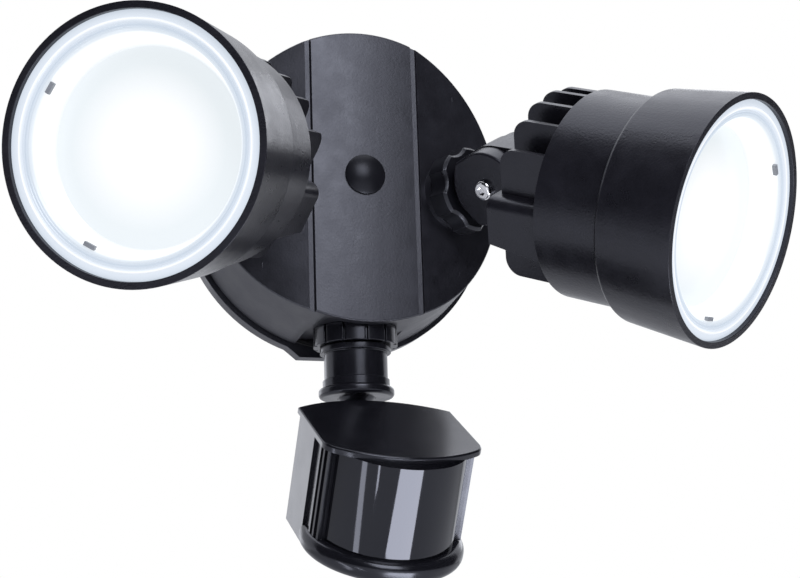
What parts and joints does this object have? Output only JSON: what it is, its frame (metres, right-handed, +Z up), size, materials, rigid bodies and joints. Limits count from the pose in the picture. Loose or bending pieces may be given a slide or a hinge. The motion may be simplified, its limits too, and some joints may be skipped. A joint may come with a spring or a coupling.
{
  "type": "motion sensor security light",
  "caption": "Wall-mounted outdoor security light: round canopy, finned round lamp heads on swivel arms, and a motion sensor head hung on a ball joint below.",
  "frame": {"origin": "centre of the canopy's back face, on the wall", "axes": "+Y into the wall, -Y out of it, +X to the right as seen from in front, +Z up"},
  "size_m": [0.3192, 0.1938, 0.2451],
  "materials": {
    "canopy_casting": "black powder coat with a fine texture",
    "arm_casting": "black powder coat with a fine texture",
    "head_casting": "black powder coat with a fine texture",
    "locknut_metal": "black, satin",
    "seal_rubber": "matte",
    "chrome_fastener": "polished",
    "lens_plastic": "frosted, lit from behind",
    "clip_plastic": "satin grey",
    "reflector_white": "white, satin",
    "led_board": "white solder mask",
    "led_chips": "yellow phosphor",
    "steel_screws": "zinc plated",
    "strap_steel": "zinc plated",
    "plug_plastic": "satin black",
    "driver_plastic": "white plastic",
    "terminal_plastic": "cream plastic",
    "ground_screw": "green",
    "neck_plastic": "satin black",
    "sensor_plastic": "satin black, fine texture",
    "dark_lens": "gloss, infrared-dark",
    "circuit_board": "green solder mask",
    "element_metal": "nickel plated can",
    "knob_plastic": "satin black"
  },
  "bodies": {
    "canopy": {"back_plate": "canopy_casting", "canopy_cover": "canopy_casting", "wall_gasket": "seal_rubber", "cover_gasket": "seal_rubber", "cover_screws": "steel_screws", "crossbar": "strap_steel", "mounting_bolt": "steel_screws", "centre_plug": "plug_plastic", "driver_case": "driver_plastic", "driver_screws": "steel_screws", "terminal_block": "terminal_plastic", "ground_screw": "ground_screw", "right_arm_locknut": "locknut_metal", "left_arm_locknut": "locknut_metal", "right_arm_seal": "seal_rubber", "left_arm_seal": "seal_rubber", "sensor_locknut": "neck_plastic"},
    "right_arm": {"right_arm_fork": "arm_casting", "right_pivot_screw": "chrome_fastener", "right_pivot_nut": "chrome_fastener"},
    "right_head": {"right_heat_sink": "head_casting", "right_shroud": "head_casting", "right_led_board": "led_board", "right_led_chips": "led_chips", "right_reflector": "reflector_white", "right_lens": "lens_plastic", "right_lens_gasket": "seal_rubber", "right_lens_clips": "clip_plastic", "right_board_screws": "steel_screws"},
    "left_arm": {"left_arm_fork": "arm_casting", "left_pivot_screw": "chrome_fastener", "left_pivot_nut": "chrome_fastener"},
    "left_head": {"left_heat_sink": "head_casting", "left_shroud": "head_casting", "left_led_board": "led_board", "left_led_chips": "led_chips", "left_reflector": "reflector_white", "left_lens": "lens_plastic", "left_lens_gasket": "seal_rubber", "left_lens_clips": "clip_plastic", "left_board_screws": "steel_screws"},
    "sensor_neck": {"neck_sleeve": "neck_plastic", "neck_collar": "neck_plastic"},
    "sensor_head": {"sensor_roof": "sensor_plastic", "sensor_case": "sensor_plastic", "fresnel_lens": "dark_lens", "sensor_base": "sensor_plastic", "base_screws": "steel_screws", "ball_stud": "neck_plastic", "pir_board": "circuit_board", "pir_element": "element_metal"},
    "time_knob": {"time_knob": "knob_plastic"},
    "range_knob": {"range_knob": "knob_plastic"}
  },
  "joints": [
    {"name": "right_swivel", "type": "hinge", "parent": "canopy", "child": "right_arm", "pos_m": [0.042, -0.04728, -0.0044], "axis": [0.4384, -0.8988, 0], "range_deg": [-59.7, 90.3]},
    {"name": "right_tilt", "type": "hinge", "parent": "right_arm", "child": "right_head", "pos_m": [0.05603, -0.07604, -0.0044], "axis": [-0.7807, -0.3808, -0.4955], "range_deg": [-16.1, 43.9]},
    {"name": "left_swivel", "type": "hinge", "parent": "canopy", "child": "left_arm", "pos_m": [-0.042, -0.04728, -0.0044], "axis": [-0.4384, -0.8988, 0], "range_deg": [-87.3, 62.7]},
    {"name": "left_tilt", "type": "hinge", "parent": "left_arm", "child": "left_head", "pos_m": [-0.05603, -0.07604, -0.0044], "axis": [-0.7563, 0.3689, 0.5402], "range_deg": [-24.25, 35.75]},
    {"name": "sensor_pan", "type": "hinge", "parent": "canopy", "child": "sensor_neck", "pos_m": [0, -0.0328, -0.07], "axis": [0, 0, 1], "range_deg": [-60, 60]},
    {"name": "sensor_tilt", "type": "hinge", "parent": "sensor_neck", "child": "sensor_head", "pos_m": [0, -0.0328, -0.086], "axis": [0.999, 0.0454, 0], "range_deg": [-30, 5]},
    {"name": "time_knob_turn", "type": "hinge", "parent": "sensor_head", "child": "time_knob", "pos_m": [-0.01067, -0.04038, -0.14717], "axis": [-0.0233, 0.513, -0.8581], "range_deg": [-135, 135]},
    {"name": "range_knob_turn", "type": "hinge", "parent": "sensor_head", "child": "range_knob", "pos_m": [0.01131, -0.03938, -0.14717], "axis": [-0.0233, 0.513, -0.8581], "range_deg": [-135, 135]}
  ]
}
